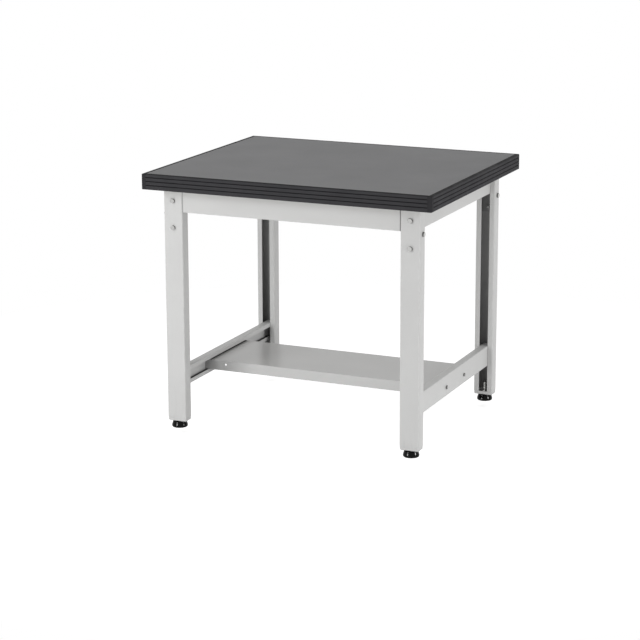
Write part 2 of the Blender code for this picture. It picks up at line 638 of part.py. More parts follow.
def main():
    clear_scene()
    finishes = {
        "sheet": material("grey_wearing_sheet", (0.20, 0.20, 0.205), 0.45),
        "board": material("particle_board", (0.50, 0.38, 0.25), 0.8),
        "backer": material("backing_sheet", (0.35, 0.34, 0.32), 0.6),
        "edging": material("black_edge_moulding", (0.025, 0.025, 0.03), 0.45),
        "paint": material("light_grey_paint", (0.62, 0.63, 0.62), 0.4),
        "zinc": material("zinc_plate", (0.55, 0.55, 0.53), 0.35, 1.0),
        "pad": material("black_plastic", (0.012, 0.012, 0.012), 0.3),
    }
    build_top(finishes)
    build_edges(finishes)
    build_corners(finishes)
    build_aprons(finishes)
    build_rails(finishes)
    build_shelf(finishes)


main()
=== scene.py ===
"""Looks of the chemical-resistant work table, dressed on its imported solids.

Metres, +Z up, +X to the right, +Y to the back. The solids give every place and overall size. The pieces made
here add finer folds, ribs, threads and edges, and every surface gets its finish.
"""
import json
import math

import bmesh
import bpy
import numpy as np
from mathutils import Matrix, Vector


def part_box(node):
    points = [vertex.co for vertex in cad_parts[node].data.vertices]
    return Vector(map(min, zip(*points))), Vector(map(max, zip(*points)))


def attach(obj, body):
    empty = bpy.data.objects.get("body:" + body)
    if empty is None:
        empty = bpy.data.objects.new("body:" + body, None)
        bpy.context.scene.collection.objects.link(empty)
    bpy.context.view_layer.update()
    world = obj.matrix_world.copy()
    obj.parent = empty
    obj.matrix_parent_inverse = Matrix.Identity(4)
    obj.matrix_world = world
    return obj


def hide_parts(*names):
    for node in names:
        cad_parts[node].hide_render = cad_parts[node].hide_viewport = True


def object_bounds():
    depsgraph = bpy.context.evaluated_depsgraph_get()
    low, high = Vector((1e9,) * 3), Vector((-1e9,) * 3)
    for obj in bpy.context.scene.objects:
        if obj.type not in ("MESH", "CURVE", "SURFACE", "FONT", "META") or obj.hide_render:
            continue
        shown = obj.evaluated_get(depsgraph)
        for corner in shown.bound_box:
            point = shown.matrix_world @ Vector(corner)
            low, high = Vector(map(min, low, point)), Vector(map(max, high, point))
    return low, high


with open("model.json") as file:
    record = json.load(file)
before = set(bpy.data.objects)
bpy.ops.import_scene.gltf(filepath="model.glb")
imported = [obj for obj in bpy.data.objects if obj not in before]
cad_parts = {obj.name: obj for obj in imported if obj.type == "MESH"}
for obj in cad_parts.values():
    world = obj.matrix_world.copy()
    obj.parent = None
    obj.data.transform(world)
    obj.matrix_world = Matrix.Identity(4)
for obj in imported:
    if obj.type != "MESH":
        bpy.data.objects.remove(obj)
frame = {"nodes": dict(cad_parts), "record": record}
CAD_LOW, CAD_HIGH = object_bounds()
NODES = frame["nodes"]

# The four corners: name, side of X, side of Y
CORNERS = (
    ("front_left", -1, -1),
    ("front_right", 1, -1),
    ("rear_left", -1, 1),
    ("rear_right", 1, 1),
)

# The left and the right: name, side of X
SIDES = (("left", -1), ("right", 1))

# Sides of the worktop: name, way out, axis that the moulding runs along
TOP_SIDES = (
    ("front", (0, -1, 0), 0),
    ("rear", (0, 1, 0), 0),
    ("left", (-1, 0, 0), 1),
    ("right", (1, 0, 0), 1),
)

# Clearance between touching solids
SEAT_GAP = 0.0003

# Edge moulding and corner caps
EDGE_BODY = 0.0115
EDGE_ROUND = 0.0022
RIB_COUNT = 4
RIB_CROWN = 0.0004
GROOVE_DEPTH = 0.0018
GROOVE_RISE = 0.0015
GROOVE_FLOOR = 0.0007
GROOVE_LIP = 0.0015
CAP_ARM = EDGE_BODY + 0.002
CAP_ROUND = 0.004
CAP_SHADE = 0.35

# Folded steel: wall, outer bend radius and widths
LEG_WALL = 0.002
LEG_BEND = 0.004
LEG_SLOT = 0.027
RAIL_WALL = 0.002
RAIL_BEND = 0.0035
RAIL_LIP = 0.013
HEM_WIDTH = 0.012
HEM_LIP = 0.0135
APRON_WALL = 0.0016
APRON_BEND = 0.0025

# Shoes under the legs
SHOE_WALL = 0.004
SHOE_FLOOR = 0.004
SHOE_CORNER = 0.006
SHOE_ROUND = 0.004

# Bolts: two sizes, the turn from one bolt to the next, and small steps in the head
LEG_BOLT = {"flats": 0.013, "head": 0.0053, "radius": 0.004, "pitch": 0.00125, "threaded": 0.0085}
SHELF_BOLT = {"flats": 0.010, "head": 0.004, "radius": 0.003, "pitch": 0.001, "threaded": 0.007}
BOLT_SPIN = 1.7
WASHER_LIFT = 0.0001
HEAD_LIFT = 0.0004
HEAD_STEP = 0.0003
DISH_DEPTH = 0.0002

# Radii in a head: washer and crown as shares of half the flats, the dish as shares of the crown
WASHER_SHARE = 0.92
CROWN_SHARE = 0.93
DISH_SHARES = (0.9, 0.84)

# Shares of a head's height: where the rows of its bevel start, and how far down the painted shade on its
# flanks fades in
BEVEL_START = 0.3
FLANK_SHADE_FADE = 0.2

# Threads: depth as a share of the pitch, what is clipped off at crest and root as a share of the depth, and
# the end's radius as a share of the whole
THREAD_SHARE = 0.61
THREAD_CLIP = 0.125
TIP_SHARE = 0.78

# Screw-out feet: the nut's bevel is a share of its height, its crown one of half its flats, and the pad's bow
# is an exponent
STEM_RADIUS = 0.006
STEM_PITCH = 0.00175
STEM_CHAMFER = 0.001
HOLE_CLEAR = 0.0003
FOOT_NUT_FLATS = 0.019
NUT_BEVEL = 0.25
NUT_CROWN_SHARE = 0.95
PAD_RADIUS = 0.0240
PAD_TOP_RADIUS = 0.0205
PAD_BASE_RADIUS = 0.0215
PAD_BELLY = 0.0050
PAD_BOW = 1.25
PAD_FLOOR = 0.006
PAD_LIP = 0.0012

# Fineness of the surfaces
FOLD_STEPS = 8
FACE_POINTS = 240
RING_POINTS = 72
WORM_ROWS = 64
STEM_ROWS = 300
HEAD_ROWS = 12
NUT_ROWS = 6
PAD_BASE_ROWS = 14
PAD_SIDE_ROWS = 12
RING = 2 * math.pi * np.arange(RING_POINTS) / RING_POINTS
SHARP_EDGE = math.radians(26)
SAME_POINT = 1e-7

# Span of the cloudy noise in the finishes, and their slight tints
NOISE_SPAN = (0.3, 0.7)
PAINT_TINT = (1.0, 1.0, 0.99)
SHEET_TINT = (1.0, 1.0, 1.02)
EDGE_TINT = (1.0, 0.99, 1.06)
ZINC_TINT = (1.0, 1.0, 0.98)

# Paint: levels of grey, gloss, spans of roughness, shares of the wear and of the painted shade, and the
# places where they change
PAINT_LEVELS = (0.585, 0.615)
FOLD_LEVEL = 0.67
PAINT_GLOSS = 0.14
PAINT_POLISH = (0.32, 0.44)
SHELF_POLISH = (0.18, 0.26)
SCUFF_LEVEL = 0.42
SCUFF_SHARE = 0.22
SCUFF_HEIGHTS = (0.16, 0.02)
# Painted shade inside the legs, darker lower down, and in the pockets behind the rails' hem and lip
INSIDE_SHADE_LEVELS = (0.20, 0.38)
INSIDE_SHADE_SHARE = 0.9
INSIDE_SHADE_HEIGHTS = (0.12, 0.45)
POCKET_SHADE_LEVEL = 0.13
HEM_SHADE = (0.003, -0.001)
LIP_SHADE = (-0.007, -0.003)
# Painted shade in the seams where the aprons' cut ends meet the legs
SEAM_SHADE_LEVEL = 0.16
SEAM_SHADE_SHARE = 0.6
SEAM_SHADE_FADE = (-0.003, -0.001)
# Painted shade towards the shelf's ends, and darker painted shade on its upper face under the rails' lips
END_SHADE_LEVEL = 0.24
END_SHADE_SHARE = 0.7
END_SHADE_FADE = (-0.03, 0.02)
UNDER_LIP_SHADE_LEVEL = 0.18
UNDER_LIP_SHADE_FADE = 0.001
UPPER_SKIN = (-0.0005, -0.0015)
# Painted shade on the brackets inside the legs
BRACKET_SHADE_LEVELS = (0.24, 0.32)

# Worktop: levels of grey, gloss and browns
SHEET_LEVELS = (0.174, 0.180)
SPECKLE_LEVEL = 0.26
FLECK_LEVEL = 0.13
SHEET_GLOSS = 0.1
EDGE_LEVELS = (0.038, 0.046)
DIE_LINE_LEVEL = 0.056
# Painted shade on the moulding's lip and in its grooves
GROOVE_SHADE_LEVEL = 0.010
EDGE_GLOSS = 0.05
CHIP_BROWNS = ((0.33, 0.22, 0.12, 1.0), (0.60, 0.46, 0.29, 1.0))
BACKER_BROWNS = ((0.28, 0.26, 0.23, 1.0), (0.36, 0.34, 0.31, 1.0))

# Zinc: name, levels of the mottle, level of the grime on threads and of the painted shade on head flanks,
# span of roughness
BOLT_ZINC = ("bolt_zinc", (0.50, 0.58), 0.18, (0.14, 0.24))
SHELF_BOLT_ZINC = ("dull_zinc", (0.20, 0.28), 0.18, (0.16, 0.28))
FOOT_ZINC = ("bright_zinc", (0.50, 0.64), 0.10, (0.35, 0.50))

# Plastic of the pads: levels of the plastic and the dust, gloss, and the height of the dust
PLASTIC_LEVEL = 0.001
DUST_LEVEL = 0.012
DUST_HEIGHT = 0.006
PLASTIC_GLOSS = 0.11

# Floor and world: levels, half the floor's width, and the distances over which the floor turns plain white
FLOOR_LEVEL = 0.93
FLOOR_LIFT = 0.64
FLOOR_REACH = 45.0
FLOOR_FADE = (0.7, 1.8)
WORLD_LEVEL = 0.52

# Soft panels, and small lamps for the feet: name, bearing from the front towards the right and height in
# degrees, distance, width, height, watts
PANELS = (
    ("panel_left_high", -24.0, 28.0, 3.2, 1.0, 1.0, 18.5),
    ("panel_left_low", -22.0, 3.5, 3.2, 1.4, 1.0, 23.0),
    ("panel_right", 82.0, 4.0, 3.2, 1.4, 1.0, 29.0),
)
FOOT_LAMPS = (
    ("foot_lamp_left", -22.0, 3.5, 3.0, 0.6, 0.5, 44.0),
    ("foot_lamp_right", 82.0, 4.0, 3.0, 0.5, 0.4, 44.0),
)
LAMP_AIM = (0.0, 0.0, 0.4)

# The photograph's camera: place, turns in degrees, lens and sensor in millimetres, and shift
CAMERA_PLACE = (2.4538, -5.6576, 1.8528)
CAMERA_YAW = 23.7374
CAMERA_PITCH = 13.2616
CAMERA_ROLL = -0.136
CAMERA_LENS = 118.326
CAMERA_SENSOR = 36.0
CAMERA_SHIFT = (-0.0078, -0.0547)
CAMERA_SIGHT = 200.0


def box(node):
    """Lowest and highest corner of a solid."""
    low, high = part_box(node)
    return np.array(low), np.array(high)


def lattice(name, grid, ring_path=False, marks=None, merge=False):
    """Mesh of a lattice whose row i is a closed profile and whose rows follow a path. Face (i, j) joins
    points j and j + 1 of rows i and i + 1, and each end profile is one flat face unless the path is a ring.
    Faces turn outward by the sign of the volume, the sum of a . (b x c) / 6 over the triangles of a fan. The
    map "skin" holds the distance along the path and the distance round the profile."""
    rows, columns = grid.shape[:2]
    points = grid.reshape(-1, 3)
    index = np.arange(rows * columns).reshape(rows, columns)
    low = index if ring_path else index[:-1]
    high = np.roll(index, -1, axis=0) if ring_path else index[1:]
    quads = np.stack([low, np.roll(low, -1, 1), np.roll(high, -1, 1), high], axis=-1).reshape(-1, 4)
    ends = [] if ring_path else [index[0][::-1], index[-1]]
    fans = [quads[:, [0, 1, 2]], quads[:, [0, 2, 3]]]
    fans += [np.stack([np.full(columns - 2, end[0]), end[1:-1], end[2:]], axis=1) for end in ends]
    a, b, c = points[np.concatenate(fans)].transpose(1, 0, 2)
    outward = np.sum(a * np.cross(b, c)) > 0
    around = travelled(np.concatenate([grid[rows // 2], grid[rows // 2, :1]]))
    along = travelled(np.concatenate([grid[:, 0], grid[:1, 0]]))
    j, i = np.meshgrid(np.arange(columns), np.arange(len(low)))
    u = np.stack([along[i], along[i], along[i + 1], along[i + 1]], axis=-1).reshape(-1, 4)
    v = np.stack([around[j], around[j + 1], around[j + 1], around[j]], axis=-1).reshape(-1, 4)
    skin = np.stack([u, v], axis=-1)
    if not outward:
        quads = quads[:, ::-1]
        skin = skin[:, ::-1]
        ends = [end[::-1] for end in ends]
    mesh = bpy.data.meshes.new(name)
    mesh.from_pydata(points.tolist(), [], quads.tolist() + [end.tolist() for end in ends])
    flat = np.zeros((len(mesh.loops), 2), np.float32)
    flat[:quads.size] = skin.reshape(-1, 2)
    mesh.uv_layers.new(name="skin").data.foreach_set("uv", flat.ravel())
    for mark, values in (marks or {}).items():
        spread = np.broadcast_to(values, (rows, columns)).astype(np.float32)
        mesh.attributes.new(mark, "FLOAT", "POINT").data.foreach_set("value", spread.ravel())
    if merge:
        weld(mesh)
    mesh.shade_smooth()
    mesh.set_sharp_from_angle(angle=SHARP_EDGE)
    return mesh


def travelled(points):
    """Distance from the first point to each point along the line through them all."""
    steps = np.linalg.norm(np.diff(points, axis=0), axis=1)
    return np.concatenate([[0.0], np.cumsum(steps)])


def weld(mesh):
    """Join points that share a place, where a lattice closes on itself."""
    bm = bmesh.new()
    bm.from_mesh(mesh)
    bmesh.ops.remove_doubles(bm, verts=bm.verts, dist=SAME_POINT)
    bm.to_mesh(mesh)
    bm.free()


def piece(name, mesh, finish, slot, body, *nodes):
    """Hang a finished mesh on its body, in place of the solids that it stands for."""
    made = bpy.data.objects.new(name, mesh)
    bpy.context.scene.collection.objects.link(made)
    mesh.materials.append(finish)
    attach(made, body)
    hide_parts(*nodes)
    return made


def quarter(radius):
    """Quarter circle: (radius sin a, radius (1 - cos a)) for a from 0 to a right angle."""
    angle = np.linspace(0, math.pi / 2, FOLD_STEPS + 1)
    return np.stack([radius * np.sin(angle), radius * (1 - np.cos(angle))], axis=1)


def folded(path, wall, bend):
    """Closed section of folded sheet whose outer skin follows a path of left-hand right angles. At each
    corner a skin point is the bend's centre plus r (run sin a - into cos a), with r the bend radius on the
    outer skin and that less the wall on the inner one. Also gives the marks: 1 in the middle of a fold, and 1
    on the inner skin."""
    corner = np.array(path, float)
    run = np.diff(corner, axis=0)
    run /= np.linalg.norm(run, axis=1, keepdims=True)
    into = np.stack([-run[:, 1], run[:, 0]], axis=1)
    angle = np.linspace(0, math.pi / 2, FOLD_STEPS + 1)
    centre = corner[1:-1] + (run[1:] - run[:-1]) * bend
    spoke = run[:-1, None] * np.sin(angle)[:, None] - into[:-1, None] * np.cos(angle)[:, None]
    outer = (centre[:, None] + spoke * bend).reshape(-1, 2)
    inner = (centre[:, None] + spoke * (bend - wall)).reshape(-1, 2)
    outer = np.concatenate([corner[:1], outer, corner[-1:]])
    inner = np.concatenate([corner[:1] + into[:1] * wall, inner, corner[-1:] + into[-1:] * wall])
    fold = np.concatenate([[0.0], np.tile(np.sin(2 * angle), len(centre)), [0.0]])
    section = np.concatenate([outer, inner[::-1]])
    marks = {
        "fold": np.concatenate([fold, fold[::-1]]),
        "inside": np.repeat([0.0, 1.0], len(outer)),
    }
    return section, marks


def drawn(section, origin, across, up, start, end):
    """Lattice of a section carried along a straight line: origin + u across + v up + the way from start to
    end, where start and end are points on the line."""
    flat = np.asarray(section)[:, :1] * np.array(across) + np.asarray(section)[:, 1:] * np.array(up)
    ways = np.array([start, end], float)
    return np.array(origin) + ways[:, None] + flat[None]


def rings(radius, height):
    """Lattice of level rings: the point at angle a of the ring at height z is (r cos a, r sin a, z), where r
    may change with both."""
    radius = np.broadcast_to(radius, (len(height), RING_POINTS))
    level = np.broadcast_to(height[:, None], radius.shape)
    return np.stack([radius * np.cos(RING), radius * np.sin(RING), level], axis=2)


def hexagon(angle, flats):
    """Distance from the middle of a hexagon to its side, at an angle from a corner."""
    return flats / 2 / np.cos((angle % (math.pi / 3)) - math.pi / 6)


def thread(height, radius, pitch):
    """Radius round a right-hand thread at each height: the crest less a share of the pitch times a triangle
    wave of the phase height / pitch - angle / a full turn, clipped to flats at crest and root."""
    phase = (height[:, None] / pitch - RING / (2 * math.pi)) % 1
    wave = np.clip((1 + 2 * THREAD_CLIP) * np.abs(2 * phase - 1) - THREAD_CLIP, 0, 1)
    return radius - THREAD_SHARE * pitch * wave


def turn_to(points, way, seat, spin):
    """Points modelled along +Z, spun about it, turned to face a way and put at a seat."""
    turn = Vector((0, 0, 1)).rotation_difference(Vector(way)).to_matrix() @ Matrix.Rotation(spin, 3, "Z")
    return points @ np.array(turn).T + np.array(seat)


class Finish:
    """A node material in the making. Each call adds a node, wires or sets its inputs and gives its result."""

    def __init__(self, name, roughness, metallic=0.0, gloss=0.5):
        self.material = bpy.data.materials.new(name)
        self.material.use_nodes = True
        self.tree = self.material.node_tree
        self.shader = self.tree.nodes["Principled BSDF"]
        self.shader.inputs["Roughness"].default_value = roughness
        self.shader.inputs["Metallic"].default_value = metallic
        self.shader.inputs["Specular IOR Level"].default_value = gloss
        self.spot = self.add("ShaderNodeTexCoord").outputs["Object"]

    def add(self, kind, inputs=(), **settings):
        """A node with its settings, its inputs wired to sockets or set to values."""
        made = self.tree.nodes.new(kind)
        for key, value in settings.items():
            setattr(made, key, value)
        for key, value in dict(inputs).items():
            if isinstance(value, bpy.types.NodeSocket):
                self.tree.links.new(value, made.inputs[key])
            else:
                made.inputs[key].default_value = value
        return made

    def mapped(self, scale, source=None):
        """Coordinates stretched by a scale for each axis."""
        return self.add("ShaderNodeMapping", {"Vector": source or self.spot, "Scale": scale}).outputs[0]

    def place(self, axis):
        """One coordinate of the point: 0 to the right, 1 to the back, 2 up."""
        return self.add("ShaderNodeSeparateXYZ", {0: self.spot}).outputs[axis]

    def skin(self):
        """Distance along a drawn piece and round its section."""
        return self.add("ShaderNodeUVMap", uv_map="skin").outputs[0]

    def noise(self, scale, detail=2.0, source=None):
        """Cloudy noise, mostly within its span, with cells of 1 / scale metres."""
        inputs = {"Vector": source or self.spot, "Scale": scale, "Detail": detail}
        return self.add("ShaderNodeTexNoise", inputs).outputs[0]

    def cloud(self, scale, detail, to_low=0.0, to_high=1.0, source=None):
        """Cloudy noise spread over another span of values."""
        return self.ramp(self.noise(scale, detail, source), *NOISE_SPAN, to_low, to_high)

    def mark(self, name):
        """A value stored on the piece's points, 0 where it has none."""
        return self.add("ShaderNodeAttribute", attribute_name=name).outputs["Fac"]

    def ramp(self, value, low, high, to_low=0.0, to_high=1.0):
        """A straight ramp from one span of values to another, clamped."""
        inputs = {"Value": value, "From Min": low, "From Max": high, "To Min": to_low, "To Max": to_high}
        return self.add("ShaderNodeMapRange", inputs).outputs[0]

    def sums(self, operation, first, second):
        """One step of arithmetic."""
        return self.add("ShaderNodeMath", {0: first, 1: second}, operation=operation).outputs[0]

    def blend(self, share, first, second):
        """A mix of two colours."""
        inputs = {0: share, 6: first, 7: second}
        return self.add("ShaderNodeMix", inputs, data_type="RGBA").outputs[2]

    def bump(self, height, distance, strength, under=None):
        """Fine relief from a height, over any relief under it."""
        inputs = {"Height": height, "Distance": distance, "Strength": strength}
        if under is not None:
            inputs["Normal"] = under
        return self.add("ShaderNodeBump", inputs).outputs[0]

    def give(self, socket, value):
        """Wire a result to the shader."""
        self.tree.links.new(value, self.shader.inputs[socket])


def grey(level, tint=(1.0, 1.0, 1.0)):
    """A colour of one level with a slight tint."""
    return (level * tint[0], level * tint[1], level * tint[2], 1.0)


def greys(levels, tint=(1.0, 1.0, 1.0)):
    """The colours of several levels with the same tint."""
    return [grey(level, tint) for level in levels]


def painted_steel(name, lap=None, cut=None, polish=PAINT_POLISH):
    """Baked light-grey paint: a cloudy tone, an orange-peel surface, paler folds, faint scuffs near the
    floor, and painted shade inside the legs, darker lower down, and in the rails' pockets. A lap is the
    distance from the middle and the level at which a piece goes under its neighbours, past which painted
    shade darkens its ends and its upper face. A cut is the distance from the middle to the cut ends, where
    painted shade darkens the seam with the legs. The polish is the lowest and highest roughness."""
    made = Finish(name, 0.4, gloss=PAINT_GLOSS)
    height = made.place(2)
    across = made.add("ShaderNodeMath", {0: made.place(0)}, operation="ABSOLUTE").outputs[0]
    tone = made.blend(made.cloud(4.0, 3.0), *greys(PAINT_LEVELS, PAINT_TINT))
    pale = made.sums("MULTIPLY", made.mark("fold"), made.ramp(made.noise(60.0, 3.0), 0.4, 0.65, to_high=0.5))
    tone = made.blend(pale, tone, grey(FOLD_LEVEL, PAINT_TINT))
    tone = scuffed(made, tone, height)
    # Painted shade inside the legs and in the rails' pockets
    tone = shaded_inside(made, tone, height)
    # Painted shade in the seam where the cut end meets the leg
    if cut is not None:
        end = made.ramp(across, cut + SEAM_SHADE_FADE[0], cut + SEAM_SHADE_FADE[1], to_high=SEAM_SHADE_SHARE)
        tone = made.blend(end, tone, grey(SEAM_SHADE_LEVEL))
    # Painted shade at the shelf's ends and under the rails' lips
    if lap is not None:
        tone = shaded_ends(made, tone, height, across, *lap)
    made.give("Base Color", tone)
    made.give("Roughness", made.cloud(9.0, 4.0, *polish))
    peel = made.bump(made.noise(620.0, 2.0), distance=0.00004, strength=0.5)
    waves = made.bump(made.noise(55.0, 1.0), distance=0.00008, strength=0.35, under=peel)
    made.give("Normal", waves)
    return made.material


def scuffed(made, tone, height):
    """Upright streaks of worn paint near the floor."""
    streaks = made.ramp(made.noise(1.0, 4.0, made.mapped((90.0, 90.0, 14.0))), 0.56, 0.72)
    near_floor = made.ramp(height, *SCUFF_HEIGHTS, to_high=SCUFF_SHARE)
    return made.blend(made.sums("MULTIPLY", streaks, near_floor), tone, grey(SCUFF_LEVEL, PAINT_TINT))


def shaded_inside(made, tone, height):
    """Painted shade on inner skins, darker lower down, and darker painted shade in the pockets behind the hem
    and lip of the rails.
    """
    inside_shade = made.blend(made.ramp(height, *INSIDE_SHADE_HEIGHTS), *greys(INSIDE_SHADE_LEVELS))
    tone = made.blend(made.sums("MULTIPLY", made.mark("inside"), INSIDE_SHADE_SHARE), tone, inside_shade)
    # Darker painted shade in the rails' pockets, behind the hem and behind the lip
    low, high = box("rail_left")
    hem_top = low[2] + HEM_LIP
    lip_bottom = high[2] - RAIL_LIP
    behind_hem = made.ramp(height, hem_top + HEM_SHADE[0], hem_top + HEM_SHADE[1])
    behind_lip = made.ramp(height, lip_bottom + LIP_SHADE[0], lip_bottom + LIP_SHADE[1])
    pocket_shade = made.sums("MULTIPLY", made.mark("pocket_shade"), made.sums("MAXIMUM", behind_hem, behind_lip))
    return made.blend(pocket_shade, tone, grey(POCKET_SHADE_LEVEL))


def shaded_ends(made, tone, height, across, reach, level):
    """Painted shade towards the ends of a piece, and darker painted shade on its upper face past the reach,
    under the rails' lips.
    """
    below = made.ramp(height, level + UPPER_SKIN[0], level + UPPER_SKIN[1])
    ends = made.ramp(across, reach + END_SHADE_FADE[0], reach + END_SHADE_FADE[1], to_high=END_SHADE_SHARE)
    tone = made.blend(made.sums("MULTIPLY", below, ends), tone, grey(END_SHADE_LEVEL))
    # Darker painted shade on the upper face past the reach, under the rails' lips
    under_lip_shade = made.sums("SUBTRACT", made.ramp(across, reach, reach + UNDER_LIP_SHADE_FADE), below)
    return made.blend(made.ramp(under_lip_shade, 0.0, 1.0), tone, grey(UNDER_LIP_SHADE_LEVEL))


def bracket_shade():
    """Painted shade on the brackets inside the legs: a dark cloudy grey, dull and slightly grainy."""
    made = Finish("bracket_painted_shade", 0.55)
    made.give("Base Color", made.blend(made.cloud(25.0, 3.0), *greys(BRACKET_SHADE_LEVELS)))
    made.give("Roughness", made.cloud(90.0, 3.0, to_low=0.48, to_high=0.62))
    made.give("Normal", made.bump(made.noise(900.0, 2.0), distance=0.00004, strength=0.4))
    return made.material


def wearing_sheet():
    """Satin mid-grey sheet: a fine speckle in a slightly cloudy ground, a pebbled surface and rubbed
    patches."""
    made = Finish("grey_wearing_sheet", 0.46, gloss=SHEET_GLOSS)
    ground = made.blend(made.cloud(3.0, 3.0), *greys(SHEET_LEVELS, SHEET_TINT))
    speckle = made.ramp(made.noise(1400.0, 1.0), 0.58, 0.70, to_high=0.30)
    ground = made.blend(speckle, ground, grey(SPECKLE_LEVEL, SHEET_TINT))
    fleck = made.ramp(made.noise(900.0, 1.0), 0.36, 0.28, to_high=0.35)
    made.give("Base Color", made.blend(fleck, ground, grey(FLECK_LEVEL, SHEET_TINT)))
    strokes = made.noise(1.0, 2.0, made.mapped((14.0, 420.0, 1.0)))
    scratch = made.ramp(strokes, 0.66, 0.72, to_high=0.05)
    made.give("Roughness", made.sums("SUBTRACT", made.cloud(7.0, 5.0, to_low=0.45, to_high=0.50), scratch))
    made.give("Normal", made.bump(made.noise(1100.0, 2.0), distance=0.00003, strength=0.4))
    return made.material


def edge_vinyl():
    """Near-black extruded vinyl: fine die lines along its length, ribs chalky from wear, and painted shade on
    the lip and in the grooves."""
    made = Finish("black_edge_vinyl", 0.6, gloss=EDGE_GLOSS)
    lines = made.noise(1.0, 2.0, made.mapped((6.0, 2600.0, 1.0), made.skin()))
    tone = made.blend(made.cloud(18.0, 3.0), *greys(EDGE_LEVELS, EDGE_TINT))
    chalk = made.ramp(lines, 0.35, 0.65, to_high=0.35)
    tone = made.blend(chalk, tone, grey(DIE_LINE_LEVEL, EDGE_TINT))
    # Painted shade on the lip and in the grooves, by the groove mark
    made.give("Base Color", made.blend(made.mark("groove"), tone, grey(GROOVE_SHADE_LEVEL, EDGE_TINT)))
    made.give("Roughness", made.cloud(30.0, 4.0, to_low=0.54, to_high=0.68))
    made.give("Normal", made.bump(lines, distance=0.00004, strength=0.4))
    return made.material


def zinc_plate(name, levels, grime_and_shade, polish):
    """Zinc on steel: a mottle between two levels, with a fine grain, grime on the threads of bolts and
    painted shade on the flanks of their heads. The polish is the lowest and highest roughness."""
    made = Finish(name, polish[0], metallic=1.0)
    tone = made.blend(made.cloud(420.0, 3.0), *greys(levels, ZINC_TINT))
    # Painted shade on the heads' flanks and grime on the threads, by the flank mark
    made.give("Base Color", made.blend(made.mark("flank"), tone, grey(grime_and_shade, ZINC_TINT)))
    made.give("Roughness", made.cloud(800.0, 2.0, *polish))
    made.give("Normal", made.bump(made.noise(2400.0, 1.0), distance=0.00002, strength=0.3))
    return made.material


def foot_plastic():
    """Glossy black plastic with a faint moulded grain and floor dust round its base."""
    made = Finish("glossy_black_plastic", 0.12, gloss=PLASTIC_GLOSS)
    low = made.ramp(made.place(2), DUST_HEIGHT, 0.0, to_high=0.5)
    dust = made.sums("MULTIPLY", low, made.ramp(made.noise(300.0, 4.0), 0.45, 0.65))
    made.give("Base Color", made.blend(dust, grey(PLASTIC_LEVEL), grey(DUST_LEVEL)))
    made.give("Roughness", made.cloud(120.0, 3.0, to_low=0.06, to_high=0.11))
    made.give("Normal", made.bump(made.noise(700.0, 1.0), distance=0.00002, strength=0.25))
    return made.material


def particle_board():
    """Pressed wood chips: cells of mixed browns, stretched in the plane of the board."""
    made = Finish("particle_board", 0.85)
    chips = made.add("ShaderNodeTexVoronoi", {"Vector": made.mapped((420.0, 420.0, 1100.0)), "Scale": 1.0})
    shade = made.add("ShaderNodeSeparateColor", {0: chips.outputs["Color"]}).outputs[0]
    made.give("Base Color", made.blend(shade, *CHIP_BROWNS))
    made.give("Normal", made.bump(shade, distance=0.0002, strength=0.5))
    return made.material


def backing_sheet():
    """Plain brown-grey backing laminate with a faint fibre along its length."""
    made = Finish("backing_laminate", 0.6)
    fibre = made.cloud(1.0, 4.0, source=made.mapped((60.0, 900.0, 60.0)))
    made.give("Base Color", made.blend(fibre, *BACKER_BROWNS))
    made.give("Roughness", made.ramp(fibre, 0.0, 1.0, to_low=0.5, to_high=0.66))
    made.give("Normal", made.bump(fibre, distance=0.00003, strength=0.4))
    return made.material


def rib_section(thick):
    """Closed section (outward, height) of the moulding. Between round shoulders the face lies behind its
    plane by the groove depth times a smooth well round each rib boundary, or by the crown times the fourth
    power of the distance from the rib's middle. Also gives the mark of painted shade in the grooves and on
    the upper lip."""
    pitch = thick / RIB_COUNT
    height = np.linspace(EDGE_ROUND, thick - EDGE_ROUND, FACE_POINTS)
    place = (height - GROOVE_RISE) / pitch
    from_groove = np.abs((place + 0.5) % 1 - 0.5) * pitch
    rise = np.clip((from_groove - GROOVE_FLOOR) / (GROOVE_LIP - GROOVE_FLOOR), 0, 1)
    well = 1 - rise * rise * (3 - 2 * rise)
    crown = RIB_CROWN * np.abs(2 * (place % 1) - 1) ** 4
    inner = (place > 0.5) & (place < RIB_COUNT - 0.5)
    depth = np.where(inner, np.maximum(GROOVE_DEPTH * well, crown), 0)
    foot = quarter(EDGE_ROUND) - [EDGE_ROUND, 0]
    head = foot[::-1] * [1, -1] + [0, thick]
    back = -EDGE_BODY + SEAT_GAP
    section = np.concatenate([foot[:-1], np.stack([-depth, height], axis=1), head[1:],
                              [[back, thick], [back, 0]]])
    lip = np.linspace(0, 1, len(head))[1:]
    # The groove mark is painted shade: full in the grooves and on the upper lip
    groove = np.concatenate([np.zeros(len(foot) - 1), np.where(inner, well, 0), lip, [1, 0]])
    return section, {"groove": groove}


def mouldings(finish):
    """The four ribbed mouldings, drawn along the sides of the worktop."""
    for side, across, along in TOP_SIDES:
        node = "edge_" + side
        low, high = box(node)
        section, marks = rib_section(high[2] - low[2])
        face = np.where(np.array(across) > 0, high, low) * np.abs(across)
        run = np.eye(3)[along]
        grid = drawn(section, face + [0, 0, low[2]], across, (0, 0, 1), run * low[along], run * high[along])
        piece("ribbed_edge_" + side, lattice(node, grid, marks=marks), finish, "edge_moulding", "frame", node)


